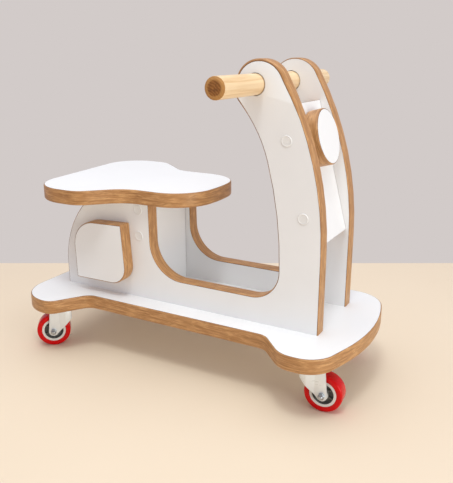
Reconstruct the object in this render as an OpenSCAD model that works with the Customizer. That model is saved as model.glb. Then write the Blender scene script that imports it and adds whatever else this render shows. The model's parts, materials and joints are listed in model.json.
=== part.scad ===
// Ride-on scooter of laminated plywood boards on four swivel casters.
// X is forward, Y is the rider's left, Z is up. The origin is on the floor under the
// centre of the deck. All sizes are in millimetres.

/* [Board stock] */
// Thickness of the plywood core of every board
ply_t = 18; // [15:0.5:21]
// Thickness of the laminate skin on each face
lam_t = 0.8; // [0.5:0.1:1.2]
// How far the edge rounding eats into each laminate
edge_round = 1.5; // [0.5:0.1:2.5]

/* [Deck] */
// Length of the deck board
deck_len = 492; // [480:1:510]
// Half width of the deck at its rear lobe
deck_rear_half = 142; // [138:1:150]
// Reach of the deck's front lobe to the rider's right
deck_front_right = 130.3; // [126:0.1:134]
// Reach of the deck's front lobe to the rider's left, where the lobe is slimmer
deck_front_left = 111.2; // [108:0.1:120]
// Half width of the deck at its waist
deck_waist_half = 93; // [88:1:98]

/* [Side panels] */
// Width over the outer faces of the two side panels
panels_w = 125.2; // [120:0.2:135]
// Height of the footwell floor over the deck
footwell_h = 35.4; // [30:0.2:42]
// Height of the top of the panels over the floor
panel_top = 418.5; // [414:0.5:424]

/* [Seat] */
// Height of the top of the seat over the floor
seat_top = 248; // [244:0.5:252]
// Reach of the seat's rear lobe to the rider's right
seat_rear_right = 121.6; // [115:0.2:128]
// Reach of the seat's rear lobe to the rider's left
seat_rear_left = 129.2; // [122:0.2:134]
// Half width of the seat at its nose
seat_nose_half = 74.6; // [70:0.2:82]

/* [Handlebar] */
// Diameter of the handlebar rod
bar_d = 25; // [22:0.5:28]
// Length of the handlebar rod
bar_len = 316; // [280:1:340]
// Height of the handlebar over the floor
bar_z = 389.3; // [386:0.1:392]

/* [Front fascia] */
// Tilt of the fascia board from the vertical, in degrees
fascia_tilt = 14.8; // [10:0.1:18]
// Length of the fascia board along its slope
fascia_len = 173.5; // [150:0.5:180]
// Diameter of the round headlight disc
light_d = 70; // [60:1:76]

/* [Casters] */
// Diameter of the wheels
wheel_d = 49; // [44:1:54]
// Width of the tyres
tyre_w = 20; // [16:0.5:21]
// Height from the floor to the underside of the deck
caster_h = 69; // [68:0.5:74]
// Distance from the swivel axis to the wheel axle
trail = 19; // [15:0.5:20]
// Angle of the front right caster from +X, in degrees
front_right_turn = 3; // [-180:1:180]
// Angle of the front left caster from +X, in degrees
front_left_turn = 175; // [-180:1:180]
// Angle of the rear right caster from +X, in degrees
rear_right_turn = -140; // [-180:1:180]
// Angle of the rear left caster from +X, in degrees
rear_left_turn = 169; // [-180:1:180]

/* [Hidden] */

$fn = 64;
eps = 0.01;
// Largest step of an arc in an outline, in degrees
arc_step = 4;

// Boards
board_t = ply_t + 2 * lam_t;
deck_bottom = caster_h;
deck_top = deck_bottom + board_t;
seat_bottom = seat_top - board_t;
panel_out = panels_w / 2;
panel_in = panel_out - board_t;
panel_mid = panel_out - board_t / 2;
floor_z = deck_top + footwell_h;

// Transverse board behind the footwell
rear_board_front = -66.8;
rear_board_mid = rear_board_front - board_t / 2;

// Foot of the front face of the fascia board
fascia_x = 186.4;
fascia_z = 199.3;
light_h = 126.7;
light_d2 = light_d / 2;

// Handlebar
bar_x = 100.7;
bar_chamfer = 1.5;
// Relief groove in the rod against the outer face of each side panel
groove_w = 1.2;
groove_deep = 0.4;

// Screws
board_screw_r = 3;
board_screw_len = 46;
board_screw_head_r = 5;
board_screw_head_h = 3;
board_screw_sink = 1.5;
small_screw_r = 1.75;
small_screw_len = 32;
small_screw_head_r = 3.5;
small_screw_head_h = 2;
small_screw_sink = 0.5;
cap_r = 6.8;
cap_t = 1;

// Caster parts, measured in the caster's own frame: swivel axis on Z, wheel towards +X
wheel_r = wheel_d / 2;
hub_r = 17.2;
recess_r = 13.8;
boss_r = 7.2;
shoulder_r = 4.2;
plate_l = 60;
plate_w = 50;
plate_t = 2.5;
plate_z = deck_bottom - plate_t;
slot_x = 23;
slot_y = 17;
slot_w = 5.2;
slot_run = 4;
ball_r = 2;
ball_ring_r = 13.5;
ball_n = 12;
crown_r = 19.4;
crown_t = 2.2;
crown_top = plate_z - 2 * ball_r - 0.3;
crown_z = crown_top - crown_t;
rim_t = 2;
rim_h = 3.2;
leg_in = 12.2;
leg_t = 2.2;
leg_end_r = 7;
// Slope of the leg's lower edge, its reach behind the swivel axis, and its reach past the axle
leg_slope = 48;
leg_wing = 9;
leg_wing_z = 45.5;
leg_top = 3;
rib_t = 0.8;
kingpin_r = 5;
kingpin_head_r = 8.5;
kingpin_head_h = 2.8;
swivel_clear = 0.06;
axle_r = 2.5;
axle_clear = 0.1;
sleeve_r = 4.5;
sleeve_bore_r = 2.6;
hub_clear = 0.05;
hub_half = 11.6;
hex_af = 8;
bolt_head_h = 3.5;
nut_h = 4.7;
bolt_tip = 1.8;

// Each caster's swivel axis in X and Y, its rest angle, and the side of its own Y axis
// that the axle's head is on, which puts every nut on the outside of the scooter.
// The left front caster has swung round, as casters do when the scooter is pushed back.
FRONT_RIGHT = [190.5, -77.5, front_right_turn, 1];
FRONT_LEFT = [190.5, 77.5, front_left_turn, 1];
REAR_RIGHT = [-201, -87, rear_right_turn, -1];
REAR_LEFT = [-201, 87, rear_left_turn, 1];
CASTERS = [FRONT_RIGHT, FRONT_LEFT, REAR_RIGHT, REAR_LEFT];

// Outlines. Each corner is [x, y, r]: straight runs joined by arcs, listed anticlockwise.
deck_end = deck_len / 2;
DECK = [
  [-deck_end, -deck_rear_half, 60],
  [-179, -deck_rear_half, 22],
  [-147, -deck_waist_half, 20],
  [133, -deck_waist_half, 20],
  [169, -deck_front_right, 35],
  [deck_end - 27.2, -deck_front_right, 38],
  [deck_end + 11.3, -7.5, 265],
  [deck_end - 22.2, deck_front_left, 50],
  [160, deck_front_left, 35],
  [133, deck_waist_half, 20],
  [-147, deck_waist_half, 20],
  [-179, deck_rear_half, 22],
  [-deck_end, deck_rear_half, 60]
];
SEAT = [
  [-240.5, seat_rear_left, 50],
  [-222, -seat_rear_right, 62],
  [-134.5, -seat_rear_right, 35],
  [-88, -seat_nose_half, 55],
  [13, -seat_nose_half, 60],
  [20.2, 0, 250],
  [12, seat_nose_half + 2, 61],
  [-95.3, seat_nose_half + 3.9, 40],
  [-156.4, seat_rear_left, 40]
];
// Side panel in X and Z: base, column front, head, column rear, footwell, rear body
PANEL = [
  [-212.5, deck_top - 30, 2],
  [192, deck_top - 30, 2],
  [192, 304.5, 420],
  [125.6, panel_top, 34],
  [75.2, panel_top, 30],
  [74.5, 374, 15],
  [108, 334, 167],
  [136.5, 234.5, 486],
  [136.5, floor_z, 38],
  [-57, floor_z, 50],
  [-58.5, seat_bottom, 2],
  [-158.5, seat_bottom, 2],
  [-212.5, 186.2, 137]
];
// Raised engine cover on the rear body, in X and Z
COVER = [
  [-177.5, 108.5, 2],
  [-86.5, 109.5, 26],
  [-92.5, 197.5, 2],
  [-180, 194.5, 38]
];

function xy(c) = [c[0], c[1]];
function unit(v) = v / norm(v);
// Corner i of a closed list, counted round in either direction
function corner(c, i) = c[(i + len(c)) % len(c)];
function run(c, i) = norm(xy(corner(c, i + 1)) - xy(corner(c, i)));
// Length that the arc at corner i takes off each of its two straight runs
function tangent(c, i) =
  let (
    u = unit(xy(corner(c, i - 1)) - xy(corner(c, i))),
    w = unit(xy(corner(c, i + 1)) - xy(corner(c, i)))
  )
  corner(c, i)[2] / tan(acos(max(-1, min(1, u * w))) / 2);
// Share of its radius that corner i can keep, so that neighbouring arcs never overlap
function keep(c, i) = min(
  1,
  0.999 * run(c, i - 1) / (tangent(c, i - 1) + tangent(c, i)),
  0.999 * run(c, i) / (tangent(c, i) + tangent(c, i + 1))
);
// Points of the arc at corner i, moved inwards by inset
function corner_arc(c, i, inset) =
  let (
    b = xy(c[i]),
    p = xy(corner(c, i - 1)),
    q = xy(corner(c, i + 1)),
    full = c[i][2] * keep(c, i),
    e = unit(b - p),
    u = -e,
    w = unit(q - b),
    half = acos(max(-1, min(1, u * w))) / 2,
    turn = cross(e, w) > 0 ? 1 : -1,
    centre = b + unit(u + w) * full / sin(half),
    rad = full - turn * inset,
    start = atan2(-e[0], e[1]),
    sweep = turn * (180 - 2 * half),
    steps = max(2, ceil(abs(sweep) / arc_step))
  )
  [for (k = [0:steps])
    let (a = start + sweep * k / steps)
    centre + turn * rad * [cos(a), sin(a)]];
function outline_points(c, inset = 0) = [for (i = [0:len(c) - 1]) each corner_arc(c, i, inset)];

// Flat sheet in X and Y from z0 up
module sheet_xy(corners, z0, t, inset = 0) {
  translate([0, 0, z0])
    linear_extrude(t)
      polygon(outline_points(corners, inset));
}

// Flat sheet in X and Z, from y0 to y0 + t
module sheet_xz(corners, y0, t, inset = 0) {
  translate([0, y0 + t, 0])
    rotate([90, 0, 0])
      linear_extrude(t)
        polygon(outline_points(corners, inset));
}

// Frame of the fascia board: X out of its front face, Z up its slope
module on_fascia() {
  translate([fascia_x, 0, fascia_z])
    rotate([0, -fascia_tilt, 0])
      children();
}

// Frame of one caster
module at_caster(c) {
  translate([c[0], c[1], 0])
    rotate([0, 0, c[2]])
      children();
}

// Screws, with the point towards +Z and the head's face at z = 0
module board_screw(reach = 0) {
  translate([0, 0, -reach])
    cylinder(h = board_screw_head_h + reach, r = board_screw_head_r);
  cylinder(h = board_screw_len, r = board_screw_r);
}

module small_screw(reach = 0) {
  translate([0, 0, -reach])
    cylinder(h = small_screw_head_h + reach, r = small_screw_head_r);
  cylinder(h = small_screw_len, r = small_screw_r);
}

// Height along the fascia slope and X, Z of its mid plane at that height
function fascia_mid(h) = [
  fascia_x - h * sin(fascia_tilt) - board_t / 2 * cos(fascia_tilt),
  fascia_z + h * cos(fascia_tilt) - board_t / 2 * sin(fascia_tilt)
];
PANEL_SCREWS = [
  fascia_mid(133.5),
  fascia_mid(39.5),
  [rear_board_mid, 217],
  [rear_board_mid, 180]
];
DECK_SCREW_X = [-180, -100, 0, 90, 148];
COVER_SCREWS = [[-158, 128], [-108, 128], [-135, 178]];
CLEAT_X0 = -150;
CLEAT_X1 = -90;
cleat_w = 20;
cleat_h = 18;
CLEAT_SCREW_X = [-138, -110];

// Screws through both side panels into the fascia and the rear board
module panel_screws(reach = 0) {
  for (s = [-1, 1], p = PANEL_SCREWS)
    translate([p[0], s * (panel_out - board_screw_sink), p[1]])
      rotate([s * 90, 0, 0])
        board_screw(reach);
}

// Screws up through the deck into the side panels and the rear board
module deck_screws(reach = 0) {
  for (s = [-1, 1], x = DECK_SCREW_X)
    translate([x, s * panel_mid, deck_bottom + board_screw_sink])
      board_screw(reach);
  for (s = [-1, 1])
    translate([rear_board_mid, s * 25, deck_bottom + board_screw_sink])
      board_screw(reach);
}

// Screws from inside the side panels into the covers
module cover_screws(reach = 0) {
  for (s = [-1, 1], p = COVER_SCREWS)
    translate([p[0], s * (panel_in + small_screw_sink), p[1]])
      rotate([-s * 90, 0, 0])
        small_screw(reach);
}

// Screws through the cleats into the side panels and up into the seat
module cleat_screws(reach = 0) {
  for (s = [-1, 1], x = CLEAT_SCREW_X) {
    translate([x, s * (panel_in - cleat_w + small_screw_sink), seat_bottom - cleat_h / 2])
      rotate([-s * 90, 0, 0])
        small_screw(reach);
    translate([x + 12, s * (panel_in - cleat_w / 2), seat_bottom - cleat_h + small_screw_sink])
      small_screw(reach);
  }
}

// Screws from behind the fascia into the headlight
module light_screws(reach = 0) {
  on_fascia()
    for (dz = [-14, 14])
      translate([-board_t + small_screw_sink, 0, light_h + dz])
        rotate([0, 90, 0])
          small_screw(reach);
}

// Deck
module deck_core() {
  color("#c08a58")
    difference() {
      sheet_xy(DECK, deck_bottom + lam_t, ply_t);
      deck_screws(5);
      caster_screw_set();
    }
}

module deck_top_laminate() {
  color("#f4f4f2")
    difference() {
      sheet_xy(DECK, deck_top - lam_t, lam_t, edge_round);
      deck_screws();
    }
}

module deck_bottom_laminate() {
  color("#f4f4f2")
    difference() {
      sheet_xy(DECK, deck_bottom, lam_t, edge_round);
      deck_screws(5);
      caster_screw_set();
    }
}

// Side panels, standing on the deck
module panel_sheet(y0, t, inset = 0) {
  intersection() {
    sheet_xz(PANEL, y0, t, inset);
    translate([-300, -200, deck_top])
      cube([600, 400, 400]);
  }
}

module bar_bore() {
  translate([bar_x, 0, bar_z])
    rotate([90, 0, 0])
      cylinder(h = 200, r = bar_d / 2 + 0.03, center = true);
}

module panel_core(side) {
  y0 = side > 0 ? panel_in + lam_t : -panel_out + lam_t;
  difference() {
    panel_sheet(y0, ply_t);
    bar_bore();
    panel_screws(5);
    deck_screws();
    cover_screws(5);
    cleat_screws();
  }
}

module panel_outer_laminate(side) {
  y0 = side > 0 ? panel_out - lam_t : -panel_out;
  difference() {
    panel_sheet(y0, lam_t, edge_round);
    bar_bore();
    panel_screws(5);
    cover_screws();
  }
}

module panel_inner_laminate(side) {
  y0 = side > 0 ? panel_in : -panel_in - lam_t;
  difference() {
    panel_sheet(y0, lam_t, edge_round);
    bar_bore();
    panel_screws();
    cover_screws(5);
    cleat_screws();
  }
}

module right_panel_core() {
  color("#c08a58") panel_core(-1);
}

module right_panel_outer_laminate() {
  color("#e9e5e0") panel_outer_laminate(-1);
}

module right_panel_inner_laminate() {
  color("#e9e5e0") panel_inner_laminate(-1);
}

module left_panel_core() {
  color("#c08a58") panel_core(1);
}

module left_panel_outer_laminate() {
  color("#e9e5e0") panel_outer_laminate(1);
}

module left_panel_inner_laminate() {
  color("#e9e5e0") panel_inner_laminate(1);
}

// Seat
module seat_core() {
  color("#c08a58")
    difference() {
      sheet_xy(SEAT, seat_bottom + lam_t, ply_t);
      cleat_screws();
    }
}

module seat_top_laminate() {
  color("#fafafa")
    sheet_xy(SEAT, seat_top - lam_t, lam_t, edge_round);
}

module seat_bottom_laminate() {
  color("#fafafa")
    difference() {
      sheet_xy(SEAT, seat_bottom, lam_t, edge_round);
      cleat_screws();
    }
}

// Wooden battens that hold the seat to the side panels
module seat_cleats() {
  color("#d8b083")
    difference() {
      for (s = [-1, 1])
        translate([CLEAT_X0, s > 0 ? panel_in - cleat_w : -panel_in, seat_bottom - cleat_h])
          cube([CLEAT_X1 - CLEAT_X0, cleat_w, cleat_h]);
      cleat_screws(5);
    }
}

// Transverse board behind the footwell
module rear_board_core() {
  color("#c08a58")
    difference() {
      translate([rear_board_front - lam_t - ply_t, -panel_in, deck_top])
        cube([ply_t, 2 * panel_in, seat_bottom - deck_top]);
      panel_screws();
      deck_screws();
    }
}

module rear_board_laminates() {
  color("#e9e5e0")
    for (x = [rear_board_front - lam_t, rear_board_front - board_t])
      translate([x, -panel_in, deck_top])
        cube([lam_t, 2 * panel_in, seat_bottom - deck_top]);
}

// Tilted fascia board between the columns
module fascia_core() {
  color("#c08a58")
    difference() {
      on_fascia()
        translate([-lam_t - ply_t, -panel_in, 0])
          cube([ply_t, 2 * panel_in, fascia_len]);
      panel_screws();
      light_screws(5);
    }
}

module fascia_laminates() {
  color("#fafafa")
    difference() {
      on_fascia()
        for (x = [-lam_t, -board_t])
          translate([x, -panel_in, 0])
            cube([lam_t, 2 * panel_in, fascia_len]);
      light_screws(5);
    }
}

// Round headlight on the fascia
module light_disc(x0, t, r) {
  on_fascia()
    translate([x0, 0, light_h])
      rotate([0, 90, 0])
        cylinder(h = t, r = r, $fn = 96);
}

module headlight_core() {
  color("#c08a58")
    difference() {
      light_disc(0, ply_t, light_d2);
      light_screws();
    }
}

module headlight_face() {
  color("#fafafa")
    light_disc(ply_t, lam_t, light_d2 - edge_round);
}

// Raised engine covers on the outer faces of the side panels
module cover_core(side) {
  y0 = side > 0 ? panel_out + lam_t : -panel_out - lam_t - ply_t;
  difference() {
    sheet_xz(COVER, y0, ply_t);
    cover_screws();
  }
}

module cover_laminates(side) {
  inner_y = side > 0 ? panel_out : -panel_out - lam_t;
  outer_y = side > 0 ? panel_out + board_t - lam_t : -panel_out - board_t;
  difference() {
    union() {
      sheet_xz(COVER, inner_y, lam_t, edge_round);
      sheet_xz(COVER, outer_y, lam_t, edge_round);
    }
    cover_screws();
  }
}

module right_cover_core() {
  color("#c08a58") cover_core(-1);
}

module right_cover_laminates() {
  color("#e9e5e0") cover_laminates(-1);
}

module left_cover_core() {
  color("#c08a58") cover_core(1);
}

module left_cover_laminates() {
  color("#e9e5e0") cover_laminates(1);
}

// Ring cut round the rod at height z along it
module rod_groove(z) {
  translate([0, 0, z])
    difference() {
      cylinder(h = groove_w, r = bar_d / 2 + 1, center = true);
      cylinder(h = groove_w + 1, r = bar_d / 2 - groove_deep, center = true);
    }
}

// Handlebar rod through both side panels, with chamfered ends and a groove at each panel
module handlebar() {
  color("#d8a15e")
    translate([bar_x, 0, bar_z])
      rotate([90, 0, 0])
        difference() {
          union() {
            cylinder(h = bar_len - 2 * bar_chamfer, r = bar_d / 2, center = true);
            for (m = [0, 1])
              mirror([0, 0, m])
                translate([0, 0, bar_len / 2 - bar_chamfer - eps])
                  cylinder(h = bar_chamfer + eps, r1 = bar_d / 2, r2 = bar_d / 2 - bar_chamfer);
          }
          for (s = [-1, 1])
            rod_groove(s * (panel_out + groove_w / 2));
        }
}

// Round caps over the heads of the panel screws
module screw_caps() {
  color("#efece8")
    for (s = [-1, 1], p = PANEL_SCREWS)
      translate([p[0], s * (panel_out + cap_t / 2), p[1]])
        rotate([90, 0, 0])
          cylinder(h = cap_t, r = cap_r, center = true);
}

module board_screws() {
  color("#8d8f92") {
    panel_screws();
    deck_screws();
  }
}

module small_screws() {
  color("#8d8f92") {
    cover_screws();
    cleat_screws();
    light_screws();
  }
}

// Casters
module caster_screw_set() {
  for (c = CASTERS)
    translate([c[0], c[1], 0])
      for (sx = [-1, 1], sy = [-1, 1])
        translate([sx * slot_x, sy * slot_y, 0]) {
          translate([0, 0, plate_z - 2.4])
            cylinder(h = 2.4, r = 4.2);
          translate([0, 0, plate_z - 2.4])
            cylinder(h = 17, r = 2.2);
        }
}

module caster_screws() {
  color("#b9bbbd") caster_screw_set();
}

// Slotted top plate, always square to the deck
module caster_plate(c) {
  color("#d9d6cf")
    translate([c[0], c[1], plate_z])
      difference() {
        linear_extrude(plate_t)
          difference() {
            union() {
              square([plate_l - 12, plate_w], center = true);
              square([plate_l, plate_w - 12], center = true);
              for (sx = [-1, 1], sy = [-1, 1])
                translate([sx * (plate_l / 2 - 6), sy * (plate_w / 2 - 6)])
                  circle(r = 6);
            }
            for (sx = [-1, 1], sy = [-1, 1])
              translate([sx * slot_x, sy * slot_y]) {
                square([slot_run, slot_w], center = true);
                for (t = [-1, 1])
                  translate([t * slot_run / 2, 0])
                    circle(d = slot_w);
              }
          }
        translate([0, 0, -1])
          cylinder(h = plate_t + 2, r = kingpin_r);
      }
}

module front_right_caster_plate() {
  caster_plate(FRONT_RIGHT);
}

module front_left_caster_plate() {
  caster_plate(FRONT_LEFT);
}

module rear_right_caster_plate() {
  caster_plate(REAR_RIGHT);
}

module rear_left_caster_plate() {
  caster_plate(REAR_LEFT);
}

// Riveted swivel pins, headed under the fork crown
module kingpins() {
  color("#b9bbbd")
    for (c = CASTERS)
      translate([c[0], c[1], 0]) {
        translate([0, 0, crown_z - 0.3 - kingpin_head_h])
          cylinder(h = plate_z + plate_t - 0.2 - crown_z + 0.3 + kingpin_head_h, r = kingpin_r);
        translate([0, 0, crown_z - 0.3 - kingpin_head_h])
          cylinder(h = kingpin_head_h, r1 = kingpin_head_r - 2.5, r2 = kingpin_head_r);
      }
}

// Ball ring of each swivel, between the plate and the fork crown
module race_balls() {
  color("#c9cbcd")
    for (c = CASTERS)
      translate([c[0], c[1], plate_z - ball_r])
        for (k = [0:ball_n - 1])
          rotate([0, 0, k * 360 / ball_n])
            translate([ball_ring_r, 0, 0])
              sphere(r = ball_r, $fn = 24);
}

// Side profile of a fork leg in X and Z
module leg_profile() {
  polygon([
    [-leg_wing, crown_top],
    [-leg_wing, leg_wing_z],
    [trail - leg_end_r * sin(leg_slope), wheel_r - leg_end_r * cos(leg_slope)],
    [trail, wheel_r],
    [trail + leg_end_r, wheel_r + 0.5],
    [trail + leg_top, crown_top]
  ]);
  translate([trail, wheel_r])
    circle(r = leg_end_r);
}

// Pressed steel fork: crown with a raised rim round the balls, and two ribbed legs
module fork_shape() {
  difference() {
    union() {
      translate([0, 0, crown_z])
        cylinder(h = crown_t, r = crown_r);
      translate([0, 0, crown_z])
        difference() {
          cylinder(h = crown_t + rim_h, r = crown_r);
          translate([0, 0, crown_t])
            cylinder(h = rim_h + 1, r = crown_r - rim_t);
        }
      for (s = [-1, 1]) {
        translate([0, s * (leg_in + leg_t / 2) + leg_t / 2, 0])
          rotate([90, 0, 0])
            linear_extrude(leg_t)
              leg_profile();
        translate([0, s > 0 ? leg_in + leg_t + rib_t : -leg_in - leg_t, 0])
          rotate([90, 0, 0])
            linear_extrude(rib_t)
              polygon([[-5, crown_top], [-5, 46], [5, 37], [5, crown_top]]);
      }
    }
    translate([0, 0, crown_z - 1])
      cylinder(h = crown_t + 2, r = kingpin_r + swivel_clear);
    translate([trail, 0, wheel_r])
      rotate([90, 0, 0])
        cylinder(h = 60, r = axle_r + axle_clear, center = true);
  }
}

module front_right_fork() {
  color("#d9d6cf") at_caster(FRONT_RIGHT) fork_shape();
}

module front_left_fork() {
  color("#d9d6cf") at_caster(FRONT_LEFT) fork_shape();
}

module rear_right_fork() {
  color("#d9d6cf") at_caster(REAR_RIGHT) fork_shape();
}

module rear_left_fork() {
  color("#d9d6cf") at_caster(REAR_LEFT) fork_shape();
}

// Axle frame: Z along the axle, away from the side that the bolt's head is on
module on_axle(head_side = 1) {
  translate([trail, 0, wheel_r])
    rotate([head_side * 90, 0, 0])
      children();
}

leg_out = leg_in + leg_t;

module axle_bolt_shape(head_side) {
  on_axle(head_side) {
    translate([0, 0, -leg_out])
      cylinder(h = 2 * leg_out + nut_h + bolt_tip, r = axle_r);
    translate([0, 0, -leg_out - bolt_head_h])
      cylinder(h = bolt_head_h, r = hex_af / sqrt(3), $fn = 6);
  }
}

module axle_nut_shape(head_side) {
  on_axle(head_side)
    translate([0, 0, leg_out])
      difference() {
        cylinder(h = nut_h, r = hex_af / sqrt(3), $fn = 6);
        translate([0, 0, -1])
          cylinder(h = nut_h + 2, r = axle_r + 0.02);
      }
}

module sleeve_shape() {
  on_axle()
    difference() {
      cylinder(h = 2 * leg_in, r = sleeve_r, center = true);
      cylinder(h = 2 * leg_in + 2, r = sleeve_bore_r, center = true);
    }
}

// Wheel hub: rim ring, web set in from both faces, and a boss on the sleeve
module hub_shape() {
  on_axle()
    difference() {
      union() {
        cylinder(h = tyre_w - 1, r = hub_r, center = true);
        cylinder(h = 2 * hub_half, r = boss_r, center = true);
      }
      for (m = [0, 1])
        mirror([0, 0, m])
          translate([0, 0, 3])
            difference() {
              cylinder(h = 20, r = recess_r);
              translate([0, 0, -1])
                cylinder(h = 22, r = boss_r);
            }
      cylinder(h = 40, r = sleeve_r + hub_clear, center = true);
    }
}

// Tyre: thick band with rounded shoulders, bonded on the hub
module tyre_shape() {
  on_axle()
    rotate_extrude($fn = 96)
      intersection() {
        translate([hub_r, -tyre_w / 2])
          square([wheel_r - hub_r, tyre_w]);
        union() {
          translate([0, -tyre_w / 2])
            square([wheel_r - shoulder_r, tyre_w]);
          translate([0, shoulder_r - tyre_w / 2])
            square([wheel_r, tyre_w - 2 * shoulder_r]);
          for (s = [-1, 1])
            translate([wheel_r - shoulder_r, s * (tyre_w / 2 - shoulder_r)])
              circle(r = shoulder_r);
        }
      }
}

module front_right_axle_bolt() {
  color("#a9acaf") at_caster(FRONT_RIGHT) axle_bolt_shape(FRONT_RIGHT[3]);
}

module front_left_axle_bolt() {
  color("#a9acaf") at_caster(FRONT_LEFT) axle_bolt_shape(FRONT_LEFT[3]);
}

module rear_right_axle_bolt() {
  color("#a9acaf") at_caster(REAR_RIGHT) axle_bolt_shape(REAR_RIGHT[3]);
}

module rear_left_axle_bolt() {
  color("#a9acaf") at_caster(REAR_LEFT) axle_bolt_shape(REAR_LEFT[3]);
}

module front_right_axle_nut() {
  color("#a9acaf") at_caster(FRONT_RIGHT) axle_nut_shape(FRONT_RIGHT[3]);
}

module front_left_axle_nut() {
  color("#a9acaf") at_caster(FRONT_LEFT) axle_nut_shape(FRONT_LEFT[3]);
}

module rear_right_axle_nut() {
  color("#a9acaf") at_caster(REAR_RIGHT) axle_nut_shape(REAR_RIGHT[3]);
}

module rear_left_axle_nut() {
  color("#a9acaf") at_caster(REAR_LEFT) axle_nut_shape(REAR_LEFT[3]);
}

module front_right_sleeve() {
  color("#8d8f92") at_caster(FRONT_RIGHT) sleeve_shape();
}

module front_left_sleeve() {
  color("#8d8f92") at_caster(FRONT_LEFT) sleeve_shape();
}

module rear_right_sleeve() {
  color("#8d8f92") at_caster(REAR_RIGHT) sleeve_shape();
}

module rear_left_sleeve() {
  color("#8d8f92") at_caster(REAR_LEFT) sleeve_shape();
}

module front_right_hub() {
  color("#d8d2c4") at_caster(FRONT_RIGHT) hub_shape();
}

module front_left_hub() {
  color("#d8d2c4") at_caster(FRONT_LEFT) hub_shape();
}

module rear_right_hub() {
  color("#d8d2c4") at_caster(REAR_RIGHT) hub_shape();
}

module rear_left_hub() {
  color("#d8d2c4") at_caster(REAR_LEFT) hub_shape();
}

module front_right_tyre() {
  color("#b80d08") at_caster(FRONT_RIGHT) tyre_shape();
}

module front_left_tyre() {
  color("#b80d08") at_caster(FRONT_LEFT) tyre_shape();
}

module rear_right_tyre() {
  color("#b80d08") at_caster(REAR_RIGHT) tyre_shape();
}

module rear_left_tyre() {
  color("#b80d08") at_caster(REAR_LEFT) tyre_shape();
}

deck_core();
deck_top_laminate();
deck_bottom_laminate();
right_panel_core();
right_panel_outer_laminate();
right_panel_inner_laminate();
left_panel_core();
left_panel_outer_laminate();
left_panel_inner_laminate();
seat_core();
seat_top_laminate();
seat_bottom_laminate();
seat_cleats();
rear_board_core();
rear_board_laminates();
fascia_core();
fascia_laminates();
headlight_core();
headlight_face();
right_cover_core();
right_cover_laminates();
left_cover_core();
left_cover_laminates();
handlebar();
screw_caps();
board_screws();
small_screws();
caster_screws();
kingpins();
race_balls();
front_right_caster_plate();
front_left_caster_plate();
rear_right_caster_plate();
rear_left_caster_plate();
front_right_fork();
front_left_fork();
rear_right_fork();
rear_left_fork();
front_right_axle_bolt();
front_left_axle_bolt();
rear_right_axle_bolt();
rear_left_axle_bolt();
front_right_axle_nut();
front_left_axle_nut();
rear_right_axle_nut();
rear_left_axle_nut();
front_right_sleeve();
front_left_sleeve();
rear_right_sleeve();
rear_left_sleeve();
front_right_hub();
front_left_hub();
rear_right_hub();
rear_left_hub();
front_right_tyre();
front_left_tyre();
rear_right_tyre();
rear_left_tyre();
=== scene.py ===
import json
import math

import bmesh
import bpy
from mathutils import Matrix, Vector


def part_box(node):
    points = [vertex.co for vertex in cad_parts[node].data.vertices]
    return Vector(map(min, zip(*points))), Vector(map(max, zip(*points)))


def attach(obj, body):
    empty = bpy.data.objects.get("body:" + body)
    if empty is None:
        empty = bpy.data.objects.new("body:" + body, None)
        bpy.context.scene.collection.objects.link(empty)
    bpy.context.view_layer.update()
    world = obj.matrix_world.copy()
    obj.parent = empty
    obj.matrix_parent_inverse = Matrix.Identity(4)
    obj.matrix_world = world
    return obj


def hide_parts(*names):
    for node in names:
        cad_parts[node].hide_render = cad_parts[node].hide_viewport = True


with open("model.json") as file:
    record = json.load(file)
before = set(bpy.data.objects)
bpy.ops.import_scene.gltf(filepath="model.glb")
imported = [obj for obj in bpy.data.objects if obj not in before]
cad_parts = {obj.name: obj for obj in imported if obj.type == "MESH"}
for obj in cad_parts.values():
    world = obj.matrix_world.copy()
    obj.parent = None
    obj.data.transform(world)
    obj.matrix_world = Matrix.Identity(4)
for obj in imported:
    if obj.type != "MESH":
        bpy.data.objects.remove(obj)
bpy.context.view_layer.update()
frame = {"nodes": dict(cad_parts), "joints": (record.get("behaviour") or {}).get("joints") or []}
NODES = frame["nodes"]
JOINTS = {j["name"]: j for j in frame["joints"]}
CASTERS = [j["name"][: -len("_swivel")] for j in frame["joints"] if j["name"].endswith("_swivel")]
SIDES = ("right", "left")
MM = 0.001

# Texture maps of a board's edge, both in metres along it: one goes on across the edge from its lower
# side, and the other goes in from the nearer side.
UV = "Grain"
EDGE_UV = "Edge"

# The rod's middle and radius in metres, and how far its eased ends reach in and along, in mm.
bar_low, bar_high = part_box("handlebar")
BAR = (bar_low + bar_high) / 2
BAR_R = (bar_high.z - bar_low.z) / 2
EASE_IN = 2.8
EASE_DEEP = 1.5


# ---------------------------------------------------------------- materials

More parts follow.
